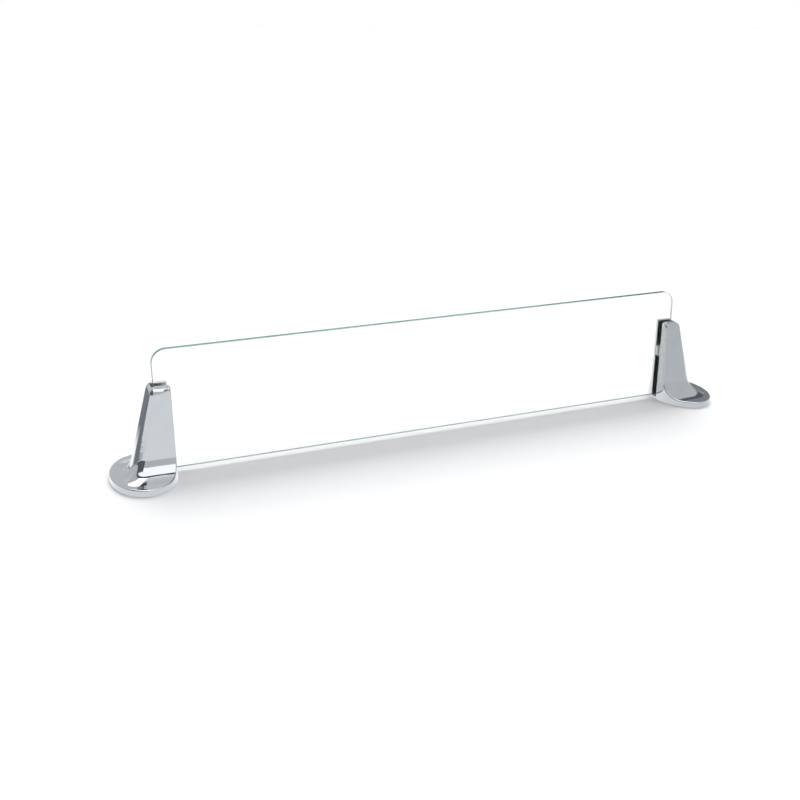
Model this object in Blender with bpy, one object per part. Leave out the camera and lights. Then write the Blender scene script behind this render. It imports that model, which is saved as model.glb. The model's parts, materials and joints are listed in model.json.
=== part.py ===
"""Counter-top sneeze guard: a clear glass panel standing in two chromed cast brackets.

World axes: X runs along the panel, -Y is the customers' side, +Z is up, and the feet
stand on Z = 0. A bracket's own sizes are measured from the end of the glass, positive
outward, and `side` is -1 for the left bracket and +1 for the right one.
"""
import math

import bmesh
import bpy
from mathutils import Matrix, Vector

# ---- driving dimensions, in metres ----
FIT = 0.0003                 # gap between two pieces that touch

GLASS_LENGTH = 0.700
GLASS_TOP = 0.152            # top edge above the counter
GLASS_BOTTOM = 0.006         # bottom edge above the counter
GLASS_THICKNESS = 0.006
GLASS_CORNER = 0.017         # radius of the two upper corners
GLASS_ARRIS = 0.0005         # ground edge
GLASS_SETBACK = 0.004        # middle of the glass behind the middle of the base

BASE_SEMI_X = 0.038          # the base is an ellipse with a flat towards the glass
BASE_SEMI_Y = 0.055
BASE_FLAT = 0.001            # depth of the ellipse that the flat takes off
BASE_RIM = 0.0088            # height of the rim above the counter
BASE_CROWN = 0.0006          # rise of the base's top from the rim to the upright
BASE_LIFT = 0.0008           # daylight under the rim
GRIP = 0.0175                # length of glass held in a bracket

UPRIGHT_TOP = 0.111
SLOT_WIDTH = 0.0136
SLOT_FLOOR = 0.0040
END_GAP = 0.0022             # slot beyond the end of the glass
FRONT_JAW = 0.0097           # wall thicknesses at the top of the upright
REAR_JAW = 0.0058
END_WALL = 0.0030
FRONT_LEAN = 0.0040          # how much further each face stands out where its sweep starts
REAR_LEAN = 0.0008
END_LEAN = 0.0238
TOP_ROUND_FRONT = 0.0085     # roundings of the top edges
TOP_ROUND_REAR = 0.0030
TOP_ROUND_END = 0.0060
TOP_ROUND_INNER = 0.0025
CORNER_TOP = 0.0045          # upright's outer corner radius at the top and at the foot
CORNER_FOOT = 0.0130
SWEEP_RUN = 0.028            # concave sweep from the front and rear faces to the base
SWEEP_RISE = 0.022
HEEL_RUN = 0.009             # the smaller one at the outer end
HEEL_RISE = 0.012
SKIRT_SPREAD = 3.0           # growth of the lowest section, trimmed to the base outline

PAD_WIDTH = 0.012            # nylon pads that hold the glass, seen from the front
PAD_HEIGHT = 0.014
PAD_ROUND = 0.002
PAD_LEVEL = 0.068            # middle of the pads and the clamp screw above the counter
PAD_EDGE = 0.0008            # pads stand this far inside the bracket's inner face
PAD_CHAMFER = 0.0006
PAD_SEAT = 0.0015            # depth of the fixed pad's seat in the front jaw
CLAMP_SEAT = 0.0018          # depth of the moving pad's seat in the rear jaw
CLAMP_TRAVEL = 0.0010        # one turn of the M6 clamp screw
CLAMP_SCREW = 0.006
CLAMP_PIN = 0.003            # tip of the screw, captive in the pad
CLAMP_PIN_LENGTH = 0.0012
CLAMP_SOCKET = 0.003         # hexagon across flats
BUSH_DIAMETER = 0.010

BLOCK_LENGTH = 0.013         # setting block under the glass
BLOCK_MARGIN = 0.0013
CUSHION_HEIGHT = 0.040       # strip between the end of the glass and the slot's end
CUSHION_FOOT = 0.007

COVER_THICKNESS = 0.0012
COVER_LEDGE = 0.0028         # rim of the casting around the cover
WEIGHT_THICKNESS = 0.0037
WEIGHT_WALL = 0.0062         # casting left outside the weight
WEIGHT_START = 0.0135        # inner edge of the weight beyond the end of the glass
BOSS_DIAMETER = 0.0105
SCREW_DIAMETER = 0.004
SCREW_HEAD = 0.007
SCREW_LENGTH = 0.0060
SCREW_INSET = 0.010          # cover screws in from the ends of the ellipse's short axis
SCREW_SPREAD = 0.020         # the two beside the slot, either side of it
DRIVER_REACH = 0.0023        # arms of the cross recess
DRIVER_WIDTH = 0.0010
DRIVER_DEPTH = 0.0006
FOOT_DIAMETER = 0.014
FOOT_INSET_X = 0.019         # feet in from the ends of the ellipse's two axes
FOOT_INSET_Y = 0.023

PLAN_STEPS = 96
CORNER_STEPS = 9
SWEEP_STEPS = 12
TOP_STEPS = 7
ROUND_STEPS = 32
PAST = 0.020                 # how far a cutter runs on past what it cuts

# ---- sizes that follow ----
BASE_MIDDLE = BASE_SEMI_X - BASE_FLAT - GRIP
SLOT_FRONT = GLASS_SETBACK - SLOT_WIDTH / 2
SLOT_REAR = GLASS_SETBACK + SLOT_WIDTH / 2
GLASS_FRONT = GLASS_SETBACK - GLASS_THICKNESS / 2
GLASS_REAR = GLASS_SETBACK + GLASS_THICKNESS / 2
COVER_TOP = BASE_LIFT + COVER_THICKNESS
COVER_CEILING = COVER_TOP + FIT
WEIGHT_CEILING = COVER_CEILING + WEIGHT_THICKNESS + FIT
SWEEP_TOP = BASE_RIM + BASE_CROWN + SWEEP_RISE
PAD_INWARD = GRIP - PAD_EDGE - PAD_WIDTH / 2
SCREW_RING = BASE_SEMI_X - SCREW_INSET
FOOT_RING_X = BASE_SEMI_X - FOOT_INSET_X
FOOT_RING_Y = BASE_SEMI_Y - FOOT_INSET_Y


def clear_scene():
    for item in list(bpy.data.objects):
        bpy.data.objects.remove(item, do_unlink=True)


def make_material(name, colour, roughness, metallic, transmission=0.0):
    material = bpy.data.materials.new(name)
    material.use_nodes = True
    shader = material.node_tree.nodes["Principled BSDF"]
    shader.inputs["Base Color"].default_value = (*colour, 1.0)
    shader.inputs["Roughness"].default_value = roughness
    shader.inputs["Metallic"].default_value = metallic
    shader.inputs["Transmission Weight"].default_value = transmission
    material.diffuse_color = (*colour, 1.0)
    return material


def add_object(name, bm, material=None):
    bmesh.ops.recalc_face_normals(bm, faces=bm.faces)
    mesh = bpy.data.meshes.new(name)
    bm.to_mesh(mesh)
    bm.free()
    item = bpy.data.objects.new(name, mesh)
    bpy.context.scene.collection.objects.link(item)
    if material:
        mesh.materials.append(material)
    return item


def shade_round(item, angle=35):
    item.data.shade_smooth()
    item.data.set_sharp_from_angle(angle=math.radians(angle))


def loft(name, rings, material=None):
    """Closed solid through rings that all have the same number of points."""
    bm = bmesh.new()
    loops = [[bm.verts.new(point) for point in ring] for ring in rings]
    for lower, upper in zip(loops, loops[1:]):
        for i in range(len(lower)):
            j = (i + 1) % len(lower)
            bm.faces.new((lower[i], lower[j], upper[j], upper[i]))
    bm.faces.new(loops[0][::-1])
    bm.faces.new(loops[-1])
    return add_object(name, bm, material)


def prism(name, outline, bottom, top, material=None):
    rings = [[Vector((x, y, z)) for x, y in outline] for z in (bottom, top)]
    return loft(name, rings, material)


def box(name, low, high, material=None):
    outline = ((low[0], low[1]), (high[0], low[1]), (high[0], high[1]), (low[0], high[1]))
    return prism(name, outline, low[2], high[2], material)


def circle(radius, steps=ROUND_STEPS, x=0.0, y=0.0, start=0.0):
    angles = [start + 2 * math.pi * i / steps for i in range(steps)]
    return [(x + radius * math.cos(a), y + radius * math.sin(a)) for a in angles]


def rounded_rectangle(width, height, radius):
    points = []
    for quarter, (across, up) in enumerate(((1, 1), (-1, 1), (-1, -1), (1, -1))):
        for i in range(CORNER_STEPS + 1):
            angle = math.pi / 2 * (quarter + i / CORNER_STEPS)
            points.append((across * (width / 2 - radius) + radius * math.cos(angle),
                           up * (height / 2 - radius) + radius * math.sin(angle)))
    return points


def turned(name, profile, material=None):
    """Solid of revolution about Z through (radius, height) pairs."""
    rings = [[Vector((x, y, height)) for x, y in circle(radius)] for radius, height in profile]
    return loft(name, rings, material)


def combine(item, cutter, operation="DIFFERENCE"):
    """Cut or trim item with cutter, bake the result and drop the cutter."""
    boolean = item.modifiers.new(cutter.name, "BOOLEAN")
    boolean.operation = operation
    boolean.solver = "EXACT"
    boolean.object = cutter
    bpy.context.view_layer.update()
    evaluated = item.evaluated_get(bpy.context.evaluated_depsgraph_get())
    mesh = bpy.data.meshes.new_from_object(evaluated)
    item.modifiers.clear()
    item.data = mesh
    bpy.data.objects.remove(cutter, do_unlink=True)


def place(item, side, outward, y, z):
    item.location = (side * (GLASS_LENGTH / 2 + outward), y, z)


def side_name(side):
    return "left" if side < 0 else "right"


def plan_outline(inset=0.0, flat=None):
    """Base outline seen from above: an ellipse cut flat on its side towards the glass."""
    edge = inset - GRIP if flat is None else flat
    points = []
    for i in range(PLAN_STEPS):
        angle = 2 * math.pi * (i + 0.5) / PLAN_STEPS
        x = BASE_MIDDLE + (BASE_SEMI_X - inset) * math.cos(angle)
        points.append((max(x, edge), (BASE_SEMI_Y - inset) * math.sin(angle)))
    return [p for i, p in enumerate(points) if not inside_flat(points, i, edge)]


def inside_flat(points, i, edge):
    """True for a point of the flat whose two neighbours are on the flat too."""
    near = (points[i - 1], points[i], points[(i + 1) % len(points)])
    return all(x <= edge for x, y in near)


def top_inset(z, radius):
    rise = z - (UPRIGHT_TOP - radius)
    if rise <= 0:
        return 0.0
    return radius - math.sqrt(max(radius ** 2 - rise ** 2, 0.0))


def sweep(z, run, rise):
    drop = BASE_RIM + BASE_CROWN + rise - z
    if drop <= 0:
        return 0.0
    return run * (1 - math.sqrt(max(1 - (drop / rise) ** 2, 0.0)))


def upright_ring(z):
    """Cross-section of the upright and its sweeps at height z, as a rounded rectangle."""
    fall = (UPRIGHT_TOP - z) / (UPRIGHT_TOP - SWEEP_TOP)
    part = min(fall, 1.0)
    front = SLOT_FRONT - FRONT_JAW - FRONT_LEAN * part
    rear = SLOT_REAR + REAR_JAW + REAR_LEAN * part
    outer = END_GAP + END_WALL + END_LEAN * fall
    inner = -GRIP - FIT
    flare = sweep(z, SWEEP_RUN, SWEEP_RISE)
    heel = sweep(z, HEEL_RUN, HEEL_RISE)
    front += top_inset(z, TOP_ROUND_FRONT) - flare
    rear -= top_inset(z, TOP_ROUND_REAR) - flare
    outer -= top_inset(z, TOP_ROUND_END) - heel
    inner += top_inset(z, TOP_ROUND_INNER)
    corner = CORNER_TOP + (CORNER_FOOT - CORNER_TOP) * part + heel
    return rounded_end(inner, outer, front, rear, corner, z)


def rounded_end(inner, outer, front, rear, corner, z):
    """Rectangle with a round corner at each of its two outer corners."""
    points = [(inner, rear), (inner, front)]
    for y, start in ((front + corner, -math.pi / 2), (rear - corner, 0.0)):
        for i in range(CORNER_STEPS + 1):
            angle = start + math.pi / 2 * i / CORNER_STEPS
            points.append((outer - corner + corner * math.cos(angle), y + corner * math.sin(angle)))
    return [Vector((x, y, z)) for x, y in points]


def upright_heights():
    """Heights of the cross-sections, close together where the outline curves."""
    sweep_part = [1 - math.cos(math.pi / 2 * i / SWEEP_STEPS) for i in range(SWEEP_STEPS + 1)]
    low = [BASE_RIM + BASE_CROWN + SWEEP_RISE * part for part in sweep_part]
    start = UPRIGHT_TOP - TOP_ROUND_FRONT
    top = [start + TOP_ROUND_FRONT * math.sin(math.pi / 2 * i / TOP_STEPS) for i in range(TOP_STEPS + 1)]
    return low + top


def skirt(ring, z):
    """The ring spread out beyond the base at height z."""
    middle = Vector((BASE_MIDDLE, 0.0, 0.0))
    spread = [middle + (point - middle) * SKIRT_SPREAD for point in ring]
    return [Vector((point.x, point.y, z)) for point in spread]


def casting(side, material):
    """Base, upright and slot in one piece."""
    rings = [upright_ring(z) for z in upright_heights()]
    rim = skirt(rings[0], BASE_RIM - BASE_CROWN)
    under = skirt(rings[0], 0.0)
    item = loft(side_name(side) + "_bracket", [under, rim] + rings, material)
    plan = prism("plan", plan_outline(), BASE_LIFT, UPRIGHT_TOP + PAST)
    combine(item, plan, "INTERSECT")
    for cutter in casting_cutters():
        combine(item, cutter)
    mirror_outward(item, side)
    shade_round(item)
    place(item, side, 0.0, 0.0, 0.0)
    return item


def casting_cutters():
    yield box("slot", (-GRIP - PAST, SLOT_FRONT, SLOT_FLOOR), (END_GAP, SLOT_REAR, UPRIGHT_TOP + PAST))
    yield prism("cover_seat", plan_outline(COVER_LEDGE), 0.0, COVER_CEILING)
    yield weight_shape("weight_pocket", 0.0, COVER_TOP, WEIGHT_CEILING)
    for x, y in screw_places():
        yield prism("screw_hole", circle(SCREW_DIAMETER / 2 + FIT, x=BASE_MIDDLE + x, y=y),
                    COVER_TOP, COVER_TOP + SCREW_LENGTH)
    seat = rounded_rectangle(PAD_WIDTH + 2 * FIT, PAD_HEIGHT + 2 * FIT, PAD_ROUND + FIT)
    yield through_jaw("pad_seat", seat, SLOT_FRONT - PAD_SEAT, GLASS_SETBACK)
    yield through_jaw("clamp_seat", seat, GLASS_SETBACK, SLOT_REAR + CLAMP_SEAT)
    yield through_jaw("bush_hole", circle(BUSH_DIAMETER / 2 + FIT), GLASS_SETBACK, SLOT_REAR + PAST)


def through_jaw(name, outline, front, rear):
    """Cutter along Y on the clamp screw's axis."""
    item = prism(name, outline, -rear, -front)
    item.data.transform(Matrix.Rotation(math.pi / 2, 4, "X"))
    item.location = (-PAD_INWARD, 0.0, PAD_LEVEL)
    return item


def weight_shape(name, gap, bottom, top, material=None):
    """The weight, or its pocket where gap is 0: the outer part of the base around a boss."""
    outline = plan_outline(WEIGHT_WALL + gap, WEIGHT_START + gap)
    item = prism(name, outline, bottom, top, material)
    boss = circle(BOSS_DIAMETER / 2 + gap, x=BASE_MIDDLE + SCREW_RING)
    combine(item, prism("boss", boss, bottom - PAST, top + PAST))
    return item


def screw_places():
    """Cover screws from the middle of the base: two beside the slot, one at the outer end."""
    return ((-SCREW_RING, -SCREW_SPREAD), (-SCREW_RING, SCREW_SPREAD), (SCREW_RING, 0.0))


def foot_places():
    return [(x, y) for x in (-FOOT_RING_X, FOOT_RING_X) for y in (-FOOT_RING_Y, FOOT_RING_Y)]


def glass_panel(material):
    """Panel with two round upper corners and ground edges."""
    half = GLASS_LENGTH / 2
    height = GLASS_TOP - GLASS_BOTTOM
    outline = [(-half, 0.0), (half, 0.0)]
    for x, start in ((half - GLASS_CORNER, 0.0), (GLASS_CORNER - half, math.pi / 2)):
        for i in range(CORNER_STEPS + 1):
            angle = start + math.pi / 2 * i / CORNER_STEPS
            outline.append((x + GLASS_CORNER * math.cos(angle),
                            height - GLASS_CORNER + GLASS_CORNER * math.sin(angle)))
    item = prism("glass_panel", outline, -GLASS_THICKNESS / 2, GLASS_THICKNESS / 2, material)
    item.data.transform(Matrix.Rotation(math.pi / 2, 4, "X"))
    arris = item.modifiers.new("arris", "BEVEL")
    arris.width = GLASS_ARRIS
    arris.segments = 2
    arris.limit_method = "ANGLE"
    arris.angle_limit = math.radians(60)
    item.location = (0.0, GLASS_SETBACK, GLASS_BOTTOM)
    shade_round(item)
    return item


def front_pad(side, material):
    """Fixed pad glued in its seat in the front jaw."""
    back = SLOT_FRONT - PAD_SEAT + FIT
    thickness = GLASS_FRONT - FIT - back
    item = pad(side_name(side) + "_front_pad", thickness, material)
    item.rotation_euler = (-math.pi / 2, 0.0, 0.0)
    place(item, side, -PAD_INWARD, back, PAD_LEVEL)
    return item


def pad(name, thickness, material):
    """Pad standing on its back face, with a softened edge towards the glass."""
    rings = []
    for height, inset in ((0.0, 0.0), (thickness - PAD_CHAMFER, 0.0), (thickness, PAD_CHAMFER)):
        outline = rounded_rectangle(PAD_WIDTH - 2 * inset, PAD_HEIGHT - 2 * inset, PAD_ROUND - inset)
        rings.append([Vector((x, y, height)) for x, y in outline])
    item = loft(name, rings, material)
    shade_round(item)
    return item


def clamp_axis(side):
    """Empty on the clamp screw's axis, at the back of the moving pad."""
    axis = bpy.data.objects.new(side_name(side) + "_clamp_axis", None)
    bpy.context.scene.collection.objects.link(axis)
    back = SLOT_REAR + CLAMP_SEAT - FIT - CLAMP_TRAVEL
    place(axis, side, -PAD_INWARD, back, PAD_LEVEL)
    return axis


def clamp_pad(side, axis, material):
    """Moving pad, pushed against the glass by the clamp screw."""
    thickness = axis.location.y - GLASS_REAR - FIT
    item = pad(side_name(side) + "_clamp_pad", thickness, material)
    socket = circle(CLAMP_PIN / 2 + FIT)
    combine(item, prism("pin_socket", socket, -FIT, CLAMP_PIN_LENGTH + FIT))
    shade_round(item)
    item.rotation_euler = (math.pi / 2, 0.0, 0.0)
    item.parent = axis
    return item


def clamp_screw(side, axis, material):
    """M6 grub screw with a hexagon socket; its pin turns in the pad."""
    shoulder = FIT
    end = SLOT_REAR + REAR_JAW - axis.location.y
    radius = CLAMP_SCREW / 2
    edge = radius / 6
    profile = [(CLAMP_PIN / 2, -CLAMP_PIN_LENGTH), (CLAMP_PIN / 2, shoulder), (radius - edge, shoulder),
               (radius, shoulder + edge), (radius, end - edge), (radius - edge, end)]
    item = turned(side_name(side) + "_clamp_screw", profile, material)
    socket = circle(CLAMP_SOCKET / math.sqrt(3), 6)
    combine(item, prism("hexagon", socket, end / 2, end + edge))
    shade_round(item)
    item.rotation_euler = (-math.pi / 2, 0.0, 0.0)
    item.parent = axis
    return item


def clamp_bush(side, material):
    """Threaded bush pressed in the rear jaw for the clamp screw."""
    front = SLOT_REAR + CLAMP_SEAT + FIT
    length = SLOT_REAR + REAR_JAW - front
    item = prism(side_name(side) + "_clamp_bush", circle(BUSH_DIAMETER / 2), 0.0, length, material)
    thread = circle(CLAMP_SCREW / 2 + FIT)
    combine(item, prism("thread", thread, -PAST, length + PAST))
    shade_round(item)
    item.rotation_euler = (-math.pi / 2, 0.0, 0.0)
    place(item, side, -PAD_INWARD, front, PAD_LEVEL)
    return item


def setting_block(side, material):
    """Silicone block on the slot's floor that carries the glass."""
    half = SLOT_WIDTH / 2 - BLOCK_MARGIN
    height = GLASS_BOTTOM - SLOT_FLOOR - 2 * FIT
    item = box(side_name(side) + "_setting_block", (-BLOCK_LENGTH / 2, -half, 0.0),
               (BLOCK_LENGTH / 2, half, height), material)
    place(item, side, -GRIP / 2, GLASS_SETBACK, SLOT_FLOOR + FIT)
    return item


def end_cushion(side, material):
    """Silicone strip between the end of the glass and the end of the slot."""
    half = SLOT_WIDTH / 2 - BLOCK_MARGIN
    thickness = END_GAP - 2 * FIT
    item = box(side_name(side) + "_end_cushion", (-thickness / 2, -half, 0.0),
               (thickness / 2, half, CUSHION_HEIGHT), material)
    place(item, side, END_GAP / 2, GLASS_SETBACK, CUSHION_FOOT)
    return item


def base_weight(side, material):
    item = weight_shape(side_name(side) + "_base_weight", FIT, 0.0, WEIGHT_THICKNESS, material)
    mirror_outward(item, side)
    shade_round(item)
    place(item, side, 0.0, 0.0, COVER_CEILING)
    return item


def base_cover(side, material):
    """Plate that closes the base from below, with countersinks and foot holes."""
    item = prism(side_name(side) + "_base_cover", plan_outline(COVER_LEDGE + FIT), 0.0,
                 COVER_THICKNESS, material)
    for x, y in screw_places():
        sink = turned("countersink", head_profile(FIT))
        sink.location = (BASE_MIDDLE + x, y, 0.0)
        combine(item, sink)
    for x, y in foot_places():
        hole = circle(FOOT_DIAMETER / 2 + FIT, x=BASE_MIDDLE + x, y=y)
        combine(item, prism("foot_hole", hole, -PAST, COVER_THICKNESS + PAST))
    mirror_outward(item, side)
    shade_round(item)
    place(item, side, 0.0, 0.0, BASE_LIFT)
    return item


def mirror_outward(item, side):
    """Point the mesh's +X away from the glass on either side."""
    item.data.transform(Matrix.Diagonal((side, 1.0, 1.0, 1.0)))
    if side < 0:
        item.data.flip_normals()


def head_profile(gap):
    """Countersunk head and shank above the cover's lower face, grown by gap."""
    head = SCREW_HEAD / 2 + gap
    shank = SCREW_DIAMETER / 2 + gap
    return [(head, -gap), (head, gap), (shank, COVER_THICKNESS), (shank, SCREW_LENGTH)]


def cover_screw(side, number, x, y, material):
    head = SCREW_HEAD / 2
    shank = SCREW_DIAMETER / 2
    length = SCREW_LENGTH + COVER_THICKNESS - 2 * FIT
    profile = [(head, 0.0), (head, FIT), (shank, COVER_THICKNESS), (shank, length)]
    item = turned(f"{side_name(side)}_cover_screw_{number}", profile, material)
    half = DRIVER_WIDTH / 2
    combine(item, box("driver_slot", (-DRIVER_REACH, -half, -PAST), (DRIVER_REACH, half, DRIVER_DEPTH)))
    combine(item, box("driver_cross", (-half, -DRIVER_REACH, -PAST), (half, DRIVER_REACH, DRIVER_DEPTH)))
    shade_round(item)
    place(item, side, BASE_MIDDLE + x, y, BASE_LIFT)
    return item


def foot(side, number, x, y, material):
    """Rubber foot standing through the cover plate."""
    radius = FOOT_DIAMETER / 2
    edge = BASE_LIFT / 2
    profile = [(radius - edge, 0.0), (radius, edge), (radius, COVER_TOP)]
    item = turned(f"{side_name(side)}_foot_{number}", profile, material)
    shade_round(item)
    place(item, side, BASE_MIDDLE + x, y, 0.0)
    return item


def bracket(side, materials):
    """One bracket with everything inside and under it."""
    casting(side, materials["chrome"])
    front_pad(side, materials["nylon"])
    axis = clamp_axis(side)
    clamp_pad(side, axis, materials["nylon"])
    clamp_screw(side, axis, materials["stainless"])
    clamp_bush(side, materials["brass"])
    setting_block(side, materials["silicone"])
    end_cushion(side, materials["silicone"])
    base_weight(side, materials["iron"])
    base_cover(side, materials["zinc"])
    for number, (x, y) in enumerate(screw_places(), 1):
        cover_screw(side, number, x, y, materials["stainless"])
    for number, (x, y) in enumerate(foot_places(), 1):
        foot(side, number, x, y, materials["rubber"])


def build():
    clear_scene()
    materials = {
        "chrome": make_material("chrome_plate", (0.80, 0.81, 0.83), 0.06, 1.0),
        "glass": make_material("clear_glass", (0.86, 0.95, 0.92), 0.02, 0.0, 1.0),
        "nylon": make_material("natural_nylon", (0.82, 0.84, 0.82), 0.45, 0.0),
        "silicone": make_material("clear_silicone", (0.70, 0.75, 0.73), 0.50, 0.0),
        "stainless": make_material("stainless_steel", (0.60, 0.61, 0.62), 0.25, 1.0),
        "zinc": make_material("zinc_plated_steel", (0.62, 0.63, 0.64), 0.35, 1.0),
        "iron": make_material("cast_iron", (0.12, 0.12, 0.12), 0.70, 0.6),
        "brass": make_material("brass", (0.75, 0.58, 0.30), 0.30, 1.0),
        "rubber": make_material("black_rubber", (0.03, 0.03, 0.03), 0.80, 0.0),
    }
    glass_panel(materials["glass"])
    for side in (-1, 1):
        bracket(side, materials)


build()
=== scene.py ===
"""Looks of the counter-top sneeze guard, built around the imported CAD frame.

World axes as in the frame: X along the glass, -Y towards the customers, +Z up, in metres.
The two brackets are meshed here from one distance function, so that every edge of the
chrome is really rounded, and the glass is made with polished edges. The other CAD nodes
stay, with softened edges and materials.
"""
import itertools
import json
import math

import bmesh
import bpy
import numpy as np
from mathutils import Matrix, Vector


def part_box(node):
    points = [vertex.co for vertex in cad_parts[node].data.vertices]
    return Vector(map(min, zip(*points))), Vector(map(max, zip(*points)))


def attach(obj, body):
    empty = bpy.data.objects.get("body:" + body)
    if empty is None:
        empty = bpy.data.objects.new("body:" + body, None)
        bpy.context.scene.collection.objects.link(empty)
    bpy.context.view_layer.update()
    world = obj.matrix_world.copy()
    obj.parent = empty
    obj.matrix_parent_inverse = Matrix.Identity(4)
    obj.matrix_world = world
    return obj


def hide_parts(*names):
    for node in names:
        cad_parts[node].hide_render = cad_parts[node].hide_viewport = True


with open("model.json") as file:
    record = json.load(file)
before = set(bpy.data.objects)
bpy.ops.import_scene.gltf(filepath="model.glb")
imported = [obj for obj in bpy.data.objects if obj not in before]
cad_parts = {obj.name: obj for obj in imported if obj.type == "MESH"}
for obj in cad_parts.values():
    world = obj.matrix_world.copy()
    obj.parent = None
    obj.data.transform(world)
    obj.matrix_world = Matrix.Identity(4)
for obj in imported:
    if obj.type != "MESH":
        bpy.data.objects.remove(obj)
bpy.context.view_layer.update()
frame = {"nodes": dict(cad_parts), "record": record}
SIDES = {"left": -1, "right": 1}


def corners(node):
    """Lowest and highest corner of a CAD node."""
    return [np.array(corner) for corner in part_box(node)]


# ---- boxes read from the frame ----
glass_low, glass_high = corners("glass_panel")
bracket_low, bracket_high = corners("right_bracket")
bush_low, bush_high = corners("right_clamp_bush")
pad_low, pad_high = corners("right_front_pad")
block_low = corners("right_setting_block")[0]
cover_high = corners("right_base_cover")[1]

# ---- bracket, with x counted outward from the end of the glass ----
FIT = 0.0003                 # gap between two pieces that touch
GLASS_END = glass_high[0]
GLASS_MIDDLE = (glass_low[1] + glass_high[1]) / 2
UPRIGHT_TOP = bracket_high[2]
BASE_LIFT = bracket_low[2]
SEMI_X = 0.038               # the base is an ellipse with a flat towards the glass
SEMI_Y = bracket_high[1]
INNER_END = bracket_low[0] - GLASS_END
OUTER_END = bracket_high[0] - GLASS_END
BASE_MIDDLE = OUTER_END - SEMI_X
BASE_RIM = 0.0088            # height of the base's rim, and its rise to the upright
BASE_CROWN = 0.0006
SLOT_WIDTH = 0.0136
SLOT_FRONT = GLASS_MIDDLE - SLOT_WIDTH / 2
SLOT_REAR = GLASS_MIDDLE + SLOT_WIDTH / 2
SLOT_FLOOR = block_low[2] - FIT
SLOT_END = 0.0022
FRONT_FACE = SLOT_FRONT - 0.0097     # the slot's walls at the top of the upright
REAR_FACE = SLOT_REAR + 0.0058
END_FACE = SLOT_END + 0.0030
FRONT_LEAN = 0.0040          # how much further the faces stand out where the sweeps start
REAR_LEAN = 0.0008
END_LEAN = 0.0238
SWEEP = (0.028, 0.022)       # run and rise of the concave sweeps, front and rear
HEEL = (0.009, 0.012)        # and at the outer end
CORNER_TOP = 0.0045          # outer corner radius at the top and where the sweeps start
CORNER_FOOT = 0.0130
TOP_FRONT = 0.0085           # roundings of the top edges
TOP_REAR = 0.0030
TOP_END = 0.0060
TOP_INNER = 0.0025
RIM_ROUND = 0.0011           # small roundings of the rim, of the other edges and of the holes
EDGE_ROUND = 0.0006
HOLE_ROUND = EDGE_ROUND / 2
SIDE_EASE = 0.003            # how softly a size changes from one side to the next
RECESS_DEPTH = 0.004         # how far into the slot its plating goes dull

# ---- seats of the pads, hole of the bush and recess of the base cover ----
PAD_X = (pad_low[0] + pad_high[0]) / 2
PAD_Z = (pad_low[2] + pad_high[2]) / 2
SEAT_WIDTH = pad_high[0] - pad_low[0] + 2 * FIT
SEAT_HEIGHT = pad_high[2] - pad_low[2] + 2 * FIT
SEAT_ROUND = 0.0023
PAD_SEAT = 0.0015            # depths of the seats in the front and rear jaws
CLAMP_SEAT = 0.0018
BUSH_RADIUS = (bush_high[0] - bush_low[0]) / 2 + FIT
COVER_INSET = 0.0028
COVER_CEILING = cover_high[2] + FIT

MESH_STEP = 0.0007           # spacing of the distance grid
NET_MARGIN = 2.5             # steps of the grid beyond the shape
LEAST_SLOPE = 0.2            # floor for the squared slope, where a distance levels off
LEAST_REACH = 0.1            # and for the share of the way out from the base's middle
NO_MOVE = 1e-12


def rounded(a, b, radius):
    """Both inside a and inside b, with their common edge rounded off."""
    beyond = np.hypot(np.maximum(a + radius, 0), np.maximum(b + radius, 0))
    return np.minimum(np.maximum(a, b), -radius) + beyond


def filleted(a, b, run, rise):
    """Inside a or inside b, with an elliptical hollow in the angle between them."""
    p = np.maximum(run - a, 0)
    w = np.maximum(rise - b, 0)
    reach = np.hypot(p / run, w / rise)
    slope = np.maximum(np.hypot(p / run ** 2, w / rise ** 2), 1.0)
    hollow = (1 - reach) * reach / slope
    return np.where((p > 0) & (w > 0), hollow, np.minimum(a, b))


def ellipse(x, y, inset=0.0):
    """Distance to the outline of the base before it is cut flat towards the glass."""
    a, b = SEMI_X - inset, SEMI_Y - inset
    reach = np.hypot((x - BASE_MIDDLE) / a, y / b)
    slope = np.maximum(np.hypot((x - BASE_MIDDLE) / a ** 2, y / b ** 2), 1.0)
    return (reach - 1) * np.maximum(reach, LEAST_REACH) / slope


def rounded_box(across, up, width, height, radius):
    """Distance to a rounded rectangle, seen along Y."""
    a = np.abs(across) - width / 2 + radius
    b = np.abs(up) - height / 2 + radius
    beyond = np.hypot(np.maximum(a, 0), np.maximum(b, 0))
    return beyond + np.minimum(np.maximum(a, b), 0) - radius


def blend_sides(distances, sizes):
    """Size that belongs to the nearest side, easing from one to the next round a corner."""
    nearest = np.maximum.reduce(distances)
    weights = [np.exp((distance - nearest) / SIDE_EASE) for distance in distances]
    return sum(weight * size for weight, size in zip(weights, sizes)) / sum(weights)


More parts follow.
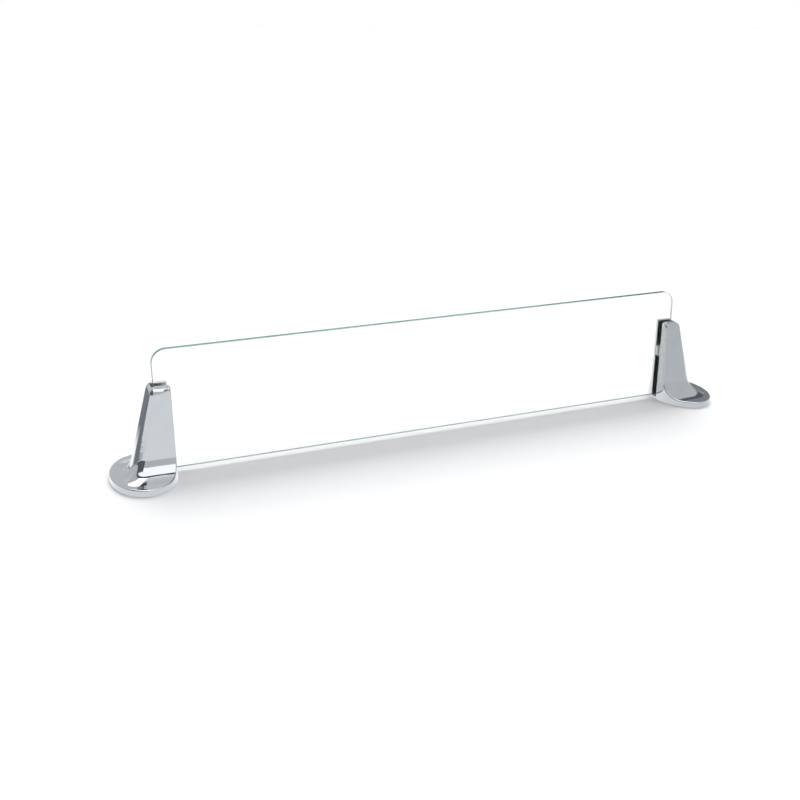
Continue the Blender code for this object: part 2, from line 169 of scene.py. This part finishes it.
def casting(x, y, z):
    """Distance to the base, sweeps and upright, before anything is cut out of them."""
    sweep_top = BASE_RIM + BASE_CROWN + SWEEP[1]
    fall = (UPRIGHT_TOP - z) / (UPRIGHT_TOP - sweep_top)
    lean = np.clip(fall, 0, 1)
    sides = (FRONT_FACE - FRONT_LEAN * lean - y, y - REAR_FACE - REAR_LEAN * lean,
             x - END_FACE - END_LEAN * fall)
    corner = CORNER_TOP + (CORNER_FOOT - CORNER_TOP) * lean
    upright = rounded(np.maximum(sides[0], sides[1]), sides[2], corner)

    crown = 1 - np.minimum(np.hypot((x - BASE_MIDDLE) / SEMI_X, y / SEMI_Y), 1) ** 2
    base_top = z - BASE_RIM - BASE_CROWN * crown
    run = blend_sides(sides, (SWEEP[0], SWEEP[0], HEEL[0]))
    rise = blend_sides(sides, (SWEEP[1], SWEEP[1], HEEL[1]))
    body = filleted(upright, base_top, run, rise)

    top = z - UPRIGHT_TOP
    inner = INNER_END - x
    top_round = blend_sides(sides, (TOP_FRONT, TOP_REAR, TOP_END))
    radius = blend_sides((top, inner), (top_round, EDGE_ROUND))
    body = rounded(body, rounded(top, inner, TOP_INNER), radius)
    return rounded(rounded(body, ellipse(x, y), RIM_ROUND), BASE_LIFT - z, EDGE_ROUND)


def bracket_distance(x, y, z):
    """Negative inside the finished bracket, in metres."""
    slot = np.maximum.reduce((SLOT_FRONT - y, y - SLOT_REAR, SLOT_FLOOR - z, x - SLOT_END))
    body = rounded(casting(x, y, z), -slot, EDGE_ROUND)
    inner = INNER_END + COVER_INSET - x
    underside = np.maximum.reduce((ellipse(x, y, COVER_INSET), inner, z - COVER_CEILING))
    body = rounded(body, -underside, HOLE_ROUND)

    across = x + GLASS_END - PAD_X
    up = z - PAD_Z
    outline = rounded_box(across, up, SEAT_WIDTH, SEAT_HEIGHT, SEAT_ROUND)
    seats = np.maximum.reduce((outline, SLOT_FRONT - PAD_SEAT - y, y - SLOT_REAR - CLAMP_SEAT))
    bush = np.maximum(np.hypot(across, up) - BUSH_RADIUS, GLASS_MIDDLE - y)
    return rounded(np.maximum(body, -seats), -bush, HOLE_ROUND)


def surface_net(distance, low, high, step):
    """Quads along the zero level of a distance function, one vertex in each cell it crosses."""
    before, after = NET_MARGIN * step, (NET_MARGIN + 0.5) * step
    axes = [np.arange(a - before, b + after, step) for a, b in zip(low, high)]
    values = distance(*np.meshgrid(*axes, indexing="ij"))
    inside = values < 0
    cells_shape = tuple(n - 1 for n in values.shape)
    cube = list(itertools.product((0, 1), repeat=3))
    count = np.zeros(cells_shape, int)
    for corner in cube:
        count += inside[tuple(slice(c, c + n) for c, n in zip(corner, cells_shape))]
    mixed = (count > 0) & (count < len(cube))
    cells = np.argwhere(mixed)
    index = np.full(cells_shape, -1)
    index[mixed] = np.arange(len(cells))

    total = np.zeros((len(cells), 3))
    crossings = np.zeros(len(cells))
    for start, end in itertools.combinations(cube, 2):
        if sum(abs(a - b) for a, b in zip(start, end)) != 1:
            continue
        v0 = values[tuple((cells + start).T)]
        v1 = values[tuple((cells + end).T)]
        crossed = (v0 < 0) != (v1 < 0)
        share = np.where(crossed, v0 / np.where(crossed, v0 - v1, 1), 0)[:, None]
        total += crossed[:, None] * (np.array(start) + share * (np.array(end) - np.array(start)))
        crossings += crossed
    origin = np.array([axis[0] for axis in axes])
    points = origin + (cells + total / crossings[:, None]) * step

    faces = []
    for axis in range(3):
        units = np.eye(3, dtype=int)
        a, b = units[(axis + 1) % 3], units[(axis + 2) % 3]
        near = tuple(slice(0, n - 1) if i == axis else slice(None) for i, n in enumerate(values.shape))
        far = tuple(slice(1, n) if i == axis else slice(None) for i, n in enumerate(values.shape))
        flips = np.argwhere(inside[near] != inside[far])
        ring = [index[tuple((flips - a * i - b * j).T)] for i, j in ((1, 1), (0, 1), (0, 0), (1, 0))]
        quads = np.stack(ring, axis=1)
        outward = inside[tuple(flips.T)]
        faces.append(np.where(outward[:, None], quads, quads[:, ::-1]))
    return points, np.concatenate(faces)


def gradient(distance, points, step=1e-5):
    """Slope of the distance at each point, from its change over a small step each way."""
    slopes = []
    for axis in np.eye(3) * step:
        slopes.append((distance(*(points + axis).T) - distance(*(points - axis).T)) / (2 * step))
    return np.stack(slopes, axis=1)


def settle(distance, points, rounds=4):
    """Move points onto the zero level, and give the outward normal there."""
    for _ in range(rounds):
        slope = gradient(distance, points)
        size = np.maximum((slope ** 2).sum(axis=1), LEAST_SLOPE)
        move = (distance(*points.T) / size)[:, None] * slope
        length = np.linalg.norm(move, axis=1)[:, None]
        points = points - move * np.minimum(1, MESH_STEP / 2 / np.maximum(length, NO_MOVE))
    slope = gradient(distance, points)
    return points, slope / np.linalg.norm(slope, axis=1)[:, None]


def link(name, mesh, material=None):
    piece = bpy.data.objects.new(name, mesh)
    bpy.context.scene.collection.objects.link(piece)
    if material:
        mesh.materials.append(material)
    return piece


def bracket_mesh():
    """Points, quads and normals of the right bracket, from the end of the glass outward."""
    low = (INNER_END, -SEMI_Y, BASE_LIFT)
    high = (OUTER_END, SEMI_Y, UPRIGHT_TOP)
    points, faces = surface_net(bracket_distance, low, high, MESH_STEP)
    points, normals = settle(bracket_distance, points)
    return points, faces, normals


def recess(points):
    """How deep in the slot each point lies: 1 from the recess depth on, 0 outside."""
    x, y, z = points.T
    depth = np.minimum.reduce((y - SLOT_FRONT, SLOT_REAR - y, SLOT_END - x)) + EDGE_ROUND
    mouth = np.minimum(x - INNER_END, UPRIGHT_TOP - z)
    return np.clip(mouth / RECESS_DEPTH, 0, 1) * (depth > 0)


def bracket_shell(name, side, shape, material):
    """The bracket's mesh put in its place, or mirrored there for the left side."""
    points, faces, normals = shape
    flip = np.array([side, 1, 1])
    place = points * flip + np.array([side * GLASS_END, 0, 0])
    mesh = bpy.data.meshes.new(name)
    mesh.from_pydata(place.tolist(), [], (faces if side > 0 else faces[:, ::-1]).tolist())
    mesh.shade_smooth()
    mesh.normals_split_custom_set_from_vertices((normals * flip).tolist())
    inner = mesh.attributes.new("recess", "FLOAT", "POINT")
    inner.data.foreach_set("value", recess(points).astype(np.float32))
    return link(name, mesh, material)


# ---- materials ----
def add(tree, kind, inputs=None, **settings):
    """A node with its settings, and its inputs set to values or linked to sockets."""
    node = tree.nodes.new(kind)
    for name, value in settings.items():
        setattr(node, name, value)
    for key, value in (inputs or {}).items():
        if isinstance(value, bpy.types.NodeSocket):
            tree.links.new(value, node.inputs[key])
        else:
            node.inputs[key].default_value = value
    return node


def noise(tree, scale, detail=3.0, stretch=(1, 1, 1)):
    """Noise fixed to the piece, with scale features to a metre."""
    place = add(tree, "ShaderNodeTexCoord").outputs["Object"]
    place = add(tree, "ShaderNodeMapping", {"Vector": place, "Scale": stretch}).outputs[0]
    settings = {"Vector": place, "Scale": scale, "Detail": detail}
    return add(tree, "ShaderNodeTexNoise", settings).outputs[0]


def spread(tree, value, low, high, start=0.3, end=0.7):
    """Value spread from low at start to high at end; noise mostly lies in 0.3 to 0.7."""
    limits = {"Value": value, "From Min": start, "From Max": end, "To Min": low, "To Max": high}
    return add(tree, "ShaderNodeMapRange", limits).outputs[0]


def mix(tree, factor, first, second):
    """Colour between two colours or colour sockets."""
    node = add(tree, "ShaderNodeMix", data_type="RGBA")
    for socket, value in ((node.inputs[0], factor), (node.inputs[6], first), (node.inputs[7], second)):
        if isinstance(value, bpy.types.NodeSocket):
            tree.links.new(value, socket)
        elif socket.type == "RGBA":
            socket.default_value = (*value, 1.0)
        else:
            socket.default_value = value
    return node.outputs[2]


def bump(tree, height, strength, distance, normal=None):
    inputs = {"Height": height, "Strength": strength, "Distance": distance}
    if normal:
        inputs["Normal"] = normal
    return add(tree, "ShaderNodeBump", inputs).outputs[0]


def new_material(name, metallic=0.0):
    material = bpy.data.materials.new(name)
    material.use_nodes = True
    shader = material.node_tree.nodes["Principled BSDF"]
    shader.inputs["Metallic"].default_value = metallic
    return material, material.node_tree, shader


def surface(name, colours, roughness, scale, relief, metallic=0.0, stretch=(1, 1, 1)):
    """Material with mottled colour and roughness, and a fine relief of the given depth."""
    material, tree, shader = new_material(name, metallic)
    broad = noise(tree, scale / 8)
    fine = noise(tree, scale, 6.0, stretch)
    tree.links.new(mix(tree, spread(tree, broad, 0, 1), *colours), shader.inputs["Base Color"])
    tree.links.new(spread(tree, fine, *roughness), shader.inputs["Roughness"])
    tree.links.new(bump(tree, fine, 1.0, relief), shader.inputs["Normal"])
    return material


CHROME = ((0.455, 0.470, 0.485), (0.480, 0.492, 0.505))
CHROME_RECESS = (0.50, 0.52, 0.46)
RECESS_HAZE = 0.3            # roughness added deep in the slot


def chrome_plate():
    """Bright plating over a cast and polished body; rougher and tinted olive where it lies deep in the
    slot.
    """
    material, tree, shader = new_material("chrome_plate", 1.0)
    deep = add(tree, "ShaderNodeAttribute", attribute_name="recess").outputs["Fac"]
    cloud = spread(tree, noise(tree, 45), 0, 1)
    colour = mix(tree, deep, mix(tree, cloud, *CHROME), CHROME_RECESS)
    tree.links.new(colour, shader.inputs["Base Color"])
    haze = spread(tree, noise(tree, 900, 5.0), 0.035, 0.075)
    dull = add(tree, "ShaderNodeMath", {0: deep, 1: RECESS_HAZE, 2: haze}, operation="MULTIPLY_ADD")
    tree.links.new(dull.outputs[0], shader.inputs["Roughness"])
    waves = bump(tree, noise(tree, 38, 1.0, (1, 1, 5)), 0.13, 0.0006)
    polishing_lines = noise(tree, 1500, 4.0, (0.05, 0.05, 1))
    relief = bump(tree, polishing_lines, 0.12, 0.00002, waves)
    tree.links.new(relief, shader.inputs["Normal"])
    return material


def glass_material(name, colours, roughness, clear=1.0):
    """Glass with a faint change of tint and polish; clear is the share of light let through."""
    material, tree, shader = new_material(name)
    shader.inputs["Transmission Weight"].default_value = clear
    shader.inputs["IOR"].default_value = GLASS_IOR
    tree.links.new(mix(tree, noise(tree, 14), *colours), shader.inputs["Base Color"])
    tree.links.new(spread(tree, noise(tree, 220, 4.0), *roughness), shader.inputs["Roughness"])
    return material


GLASS_IOR = 1.52
# painted light of the polished edges: a paler tone for the sides and bottom, deep green for the top,
# and painted shade for the top's right end
EDGE_GREEN_PAINTED_PALE = ((0.60, 0.68, 0.66), (0.66, 0.73, 0.71))
EDGE_GREEN_PAINTED_DEEP = ((0.09, 0.36, 0.27), (0.18, 0.48, 0.38))
EDGE_PAINTED_SHADE = (0.07, 0.15, 0.12)
EDGE_SHADE_STRETCH = (0.14, 0.32)          # stretch of X over which painted shade darkens the top edge


def glass_edge():
    """Polished edge, green of its own, with painted light: deep green along the top, where the whole
    height of the glass shows in it, painted shade towards the right end, and a paler tone on the other
    edges.
    """
    material = glass_material("glass_edge", EDGE_GREEN_PAINTED_PALE, (0.03, 0.10), 0.45)
    tree = material.node_tree
    shader = tree.nodes["Principled BSDF"]
    painted_pale_green = shader.inputs["Base Color"].links[0].from_socket
    shader.inputs["Specular IOR Level"].default_value = 0.2
    place = add(tree, "ShaderNodeTexCoord").outputs["Object"]
    along = add(tree, "ShaderNodeSeparateXYZ", {0: place}).outputs[0]
    deep = mix(tree, noise(tree, 9), *EDGE_GREEN_PAINTED_DEEP)
    # painted shade: the top edge darkens towards the right end of the glass
    deep = mix(tree, spread(tree, along, 0, 1, *EDGE_SHADE_STRETCH), deep, EDGE_PAINTED_SHADE)
    facing = add(tree, "ShaderNodeNewGeometry").outputs["True Normal"]
    up = add(tree, "ShaderNodeSeparateXYZ", {0: facing}).outputs[2]
    # painted light: deep green where the edge faces up, a paler tone on the edges that face sideways or
    # down
    tree.links.new(mix(tree, spread(tree, up, 0, 1), painted_pale_green, deep), shader.inputs["Base Color"])
    return material


def translucent(name, colours, weight, scale):
    """Milky plastic or silicone."""
    material = surface(name, colours, (0.35, 0.55), scale, 0.00003)
    shader = material.node_tree.nodes["Principled BSDF"]
    shader.inputs["Subsurface Weight"].default_value = weight
    shader.inputs["Subsurface Radius"].default_value = (0.003, 0.003, 0.0028)
    shader.inputs["Subsurface Scale"].default_value = 1.0
    return material


CLEAR = ((0.985, 0.996, 0.992), (0.990, 0.999, 0.996))
NYLON = ((0.80, 0.82, 0.79), (0.88, 0.89, 0.87))
SILICONE = ((0.66, 0.71, 0.69), (0.74, 0.78, 0.76))
STEEL = ((0.52, 0.53, 0.55), (0.62, 0.63, 0.64))
BRASS = ((0.62, 0.45, 0.20), (0.78, 0.62, 0.33))
ZINC = ((0.55, 0.56, 0.58), (0.66, 0.65, 0.60))
IRON = ((0.06, 0.06, 0.06), (0.12, 0.11, 0.10))
RUBBER = ((0.018, 0.018, 0.019), (0.035, 0.035, 0.036))


def finish_materials():
    """One material for each slot of the record, under the slot's name."""
    brushed = (1, 1, 0.1)
    return {
        "chrome_plate": chrome_plate(),
        "clear_glass": glass_material("clear_glass", CLEAR, (0.0, 0.01)),
        "glass_edge": glass_edge(),
        "natural_nylon": translucent("natural_nylon", NYLON, 0.4, 2500),
        "clear_silicone": translucent("clear_silicone", SILICONE, 0.6, 1800),
        "stainless_steel": surface("stainless_steel", STEEL, (0.20, 0.34), 2600, 0.00001, 1.0, brushed),
        "brass": surface("brass", BRASS, (0.22, 0.38), 1800, 0.00002, 1.0),
        "zinc_plated_steel": surface("zinc_plated_steel", ZINC, (0.28, 0.42), 1600, 0.00002, 1.0),
        "cast_iron": surface("cast_iron", IRON, (0.6, 0.8), 900, 0.0003, 0.7),
        "black_rubber": surface("black_rubber", RUBBER, (0.65, 0.85), 2400, 0.00006),
    }


# ---- pieces ----
GLASS_CORNER = 0.017
GLASS_ARRIS = 0.0006
FOOT_CORNER = 2 * GLASS_ARRIS
CORNER_STEPS = 24
ARRIS_STEPS = 4
SHARP = math.radians(40)
NODE_BEVEL = 0.00015


def glass_outline(inset, y):
    """Outline of the panel: round upper corners and small round lower ones."""
    points = []
    turns = ((1, -1, FOOT_CORNER), (1, 1, GLASS_CORNER), (-1, 1, GLASS_CORNER), (-1, -1, FOOT_CORNER))
    for quarter, (across, up, radius) in enumerate(turns, 3):
        x = (glass_high[0] if across > 0 else glass_low[0]) - across * radius
        z = (glass_high[2] if up > 0 else glass_low[2]) - up * radius
        for i in range(CORNER_STEPS + 1):
            angle = math.pi / 2 * (quarter + i / CORNER_STEPS)
            reach = radius - inset
            points.append(Vector((x + reach * math.cos(angle), y, z + reach * math.sin(angle))))
    return points


def glass_sheet(faces_material, edge_material):
    """Panel with polished edges: the faces are clear, and the edges carry the green of the glass, with
    painted light and shade on them.
    """
    bm = bmesh.new()
    quarter = [math.pi / 2 * i / ARRIS_STEPS for i in range(ARRIS_STEPS + 1)]
    profile = [(glass_low[1] + GLASS_ARRIS * (1 - math.sin(a)), GLASS_ARRIS * (1 - math.cos(a)))
               for a in reversed(quarter)]
    profile += [(glass_low[1] + glass_high[1] - y, inset) for y, inset in reversed(profile)]
    loops = [[bm.verts.new(point) for point in glass_outline(inset, y)] for y, inset in profile]
    for near, far in zip(loops, loops[1:]):
        for i in range(len(near)):
            j = (i + 1) % len(near)
            bm.faces.new((near[i], near[j], far[j], far[i])).material_index = 1
    bm.faces.new(loops[0][::-1])
    bm.faces.new(loops[-1])
    bmesh.ops.recalc_face_normals(bm, faces=bm.faces)
    mesh = bpy.data.meshes.new("glass_sheet")
    bm.to_mesh(mesh)
    bm.free()
    mesh.shade_smooth()
    mesh.set_sharp_from_angle(angle=SHARP)
    sheet = link("glass_sheet", mesh, faces_material)
    mesh.materials.append(edge_material)
    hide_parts("glass_panel")
    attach(sheet, "glass")


def soften(node):
    """Round the sharp edges of a CAD node a little."""
    weld = node.modifiers.new("weld", "WELD")
    weld.merge_threshold = 0.00001
    edges = node.modifiers.new("edges", "BEVEL")
    edges.width = NODE_BEVEL
    edges.segments = 3
    edges.limit_method = "ANGLE"
    edges.angle_limit = SHARP
    edges.harden_normals = True


def dress_nodes(materials):
    """Give every CAD node the material of its slot, and soften those that stay in sight."""
    slots = {row["node"]: row["material_slot"] for row in frame["record"]["subparts"]}
    for name, node in frame["nodes"].items():
        node.data.materials.clear()
        node.data.materials.append(materials[slots[name]])
        if not name.endswith(("bracket", "glass_panel")):
            soften(node)


def add_brackets(material):
    """Both bracket shells, in the place of the CAD brackets."""
    shape = bracket_mesh()
    for name, side in SIDES.items():
        shell = bracket_shell(name + "_bracket_shell", side, shape, material)
        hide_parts(name + "_bracket")
        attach(shell, "stand")


# ---- studio ----
CAMERA_PLACE = Vector((-0.5161, -1.1418, 0.5091))
CAMERA_YAW = 0.3878
CAMERA_PITCH = 0.3553
CAMERA_LENS = 47.49
CAMERA_REACH = 200.0

STUDIO_RADIUS = 30.0
STUDIO_SIDES = 96
FLOOR_GREY = (0.83, 0.83, 0.83, 1)
MIRROR_LIFT = 0.0002         # of the mirrored sheet above the floor
MIRROR_LIGHT = 1.54
MIRROR_FRONT = (0.81, 0.83, 0.84)
MIRROR_REAR = (0.98, 1.0, 1.0)
MIRROR_BEHIND_LEFT = (0.16, 0.17, 0.19)
MIRROR_OUTER_LEFT = (0.20, 0.22, 0.25)
MIRROR_RIGHT = (0.57, 0.59, 0.61)

ROOM_GREY = (0.86, 0.88, 0.90)
ROOM_DARK = (0.17, 0.18, 0.21)
ROOM_WALL = (0.34, 0.36, 0.38)
FRONT_BOX = (2.0, 2.0, 2.0)
BACK_BOX = (6.0, 6.0, 6.0)
HORIZON = (1.2, 1.2, 1.2)


def add_camera():
    data = bpy.data.cameras.new("camera")
    data.lens = CAMERA_LENS
    data.clip_end = CAMERA_REACH
    camera = bpy.data.objects.new("camera", data)
    camera.location = CAMERA_PLACE
    camera.rotation_euler = (math.pi / 2 - CAMERA_PITCH, 0, -CAMERA_YAW)
    bpy.context.scene.collection.objects.link(camera)
    bpy.context.scene.camera = camera


def split(tree, vector):
    return add(tree, "ShaderNodeSeparateXYZ", {0: vector}).outputs


def zoned(tree, colour, zones):
    """Colour overlaid with zones, each a tone and the edges that bound it.

    An edge is a value, where the zone starts to show, and where it shows fully.
    """
    for tone, *edges in zones:
        cover = 1.0
        for value, start, full in edges:
            share = spread(tree, value, 0, 1, start, full)
            cover = add(tree, "ShaderNodeMath", {0: cover, 1: share}, operation="MULTIPLY").outputs[0]
        colour = mix(tree, cover, colour, tone)
    return colour


def stage_item(name, bm):
    """Matt piece of the studio, which only lights and backs the object."""
    mesh = bpy.data.meshes.new(name)
    bm.to_mesh(mesh)
    bm.free()
    material, tree, shader = new_material(name)
    shader.inputs["Roughness"].default_value = 0.9
    shader.inputs["Specular IOR Level"].default_value = 0.0
    item = link(name, mesh, material)
    return item, tree, shader


def disc(height):
    bm = bmesh.new()
    bmesh.ops.create_circle(bm, cap_ends=True, segments=STUDIO_SIDES, radius=STUDIO_RADIUS)
    bmesh.ops.translate(bm, vec=(0, 0, height), verts=bm.verts)
    return bm


def add_floor():
    """Pale floor, which everything but the chrome sees."""
    floor, _, shader = stage_item("floor", disc(0))
    shader.inputs["Base Color"].default_value = FLOOR_GREY
    floor.visible_glossy = False


def add_mirrored_floor():
    """Toned sheet on the floor that is seen only in the chrome."""
    sheet, tree, shader = stage_item("mirrored_floor", disc(MIRROR_LIFT))
    sheet.visible_camera = False
    sheet.visible_diffuse = False
    sheet.visible_transmission = False
    sheet.visible_shadow = False
    x, y = split(tree, add(tree, "ShaderNodeTexCoord").outputs["Object"])[:2]
    tone = zoned(tree, MIRROR_FRONT, (
        (MIRROR_REAR, (y, -0.05, 0.15)),
        (MIRROR_BEHIND_LEFT, (x, -0.25, -0.42), (y, 0.14, 0.26)),
        (MIRROR_OUTER_LEFT, (x, -0.44, -0.60), (y, -0.30, -0.10)),
        (MIRROR_RIGHT, (x, 0.05, 0.45), (y, 0.0, -0.12)),
    ))
    shader.inputs["Base Color"].default_value = (0, 0, 0, 1)
    shader.inputs["Emission Strength"].default_value = MIRROR_LIGHT
    tree.links.new(tone, shader.inputs["Emission Color"])


def add_backdrop():
    """Plain white surround behind the floor; the room's light passes through it."""
    bm = bmesh.new()
    bmesh.ops.create_icosphere(bm, subdivisions=4, radius=STUDIO_RADIUS)
    backdrop, _, shader = stage_item("backdrop", bm)
    shader.inputs["Base Color"].default_value = (0, 0, 0, 1)
    shader.inputs["Emission Color"].default_value = (1, 1, 1, 1)
    shader.inputs["Emission Strength"].default_value = 1.0
    backdrop.visible_diffuse = False
    backdrop.visible_glossy = False
    backdrop.visible_shadow = False


def add_world():
    """Grey room with a soft box overhead in front and one behind, and dark parts at the sides.

    The zones lie by direction: x to the right, y to the rear and z up, each from -1 to 1.
    """
    world = bpy.data.worlds.new("studio")
    world.use_nodes = True
    bpy.context.scene.world = world
    tree = world.node_tree
    x, y, z = split(tree, add(tree, "ShaderNodeTexCoord").outputs["Generated"])
    middle = ((x, -0.49, -0.43), (x, 0.49, 0.43))
    rear_right = ((x, 0.48, 0.54), (y, 0.36, 0.44))
    light = zoned(tree, ROOM_GREY, (
        (FRONT_BOX, *middle, (z, 0.69, 0.73), (y, 0.06, 0.03)),
        (BACK_BOX, *middle, (z, 0.60, 0.64), (y, 0.20, 0.23), (x, -0.12, -0.04)),
        (ROOM_DARK, *middle, (z, 0.88, 0.92), (y, 0.035, 0.065), (y, 0.225, 0.195)),
        (ROOM_DARK, (x, -0.08, -0.12), (y, 0.30, 0.10), (z, 0.00, 0.04), (z, 0.96, 0.92)),
        (ROOM_WALL, *rear_right, (z, 0.44, 0.42)),
        (ROOM_DARK, *rear_right, (z, 0.42, 0.44), (z, 0.66, 0.64)),
        (HORIZON, (z, 0.018, 0.012)),
    ))
    tree.links.new(light, tree.nodes["Background"].inputs["Color"])


materials = finish_materials()
dress_nodes(materials)
add_brackets(materials["chrome_plate"])
glass_sheet(materials["clear_glass"], materials["glass_edge"])
add_floor()
add_mirrored_floor()
add_backdrop()
add_world()
add_camera()
bpy.context.scene.view_settings.view_transform = "Standard"
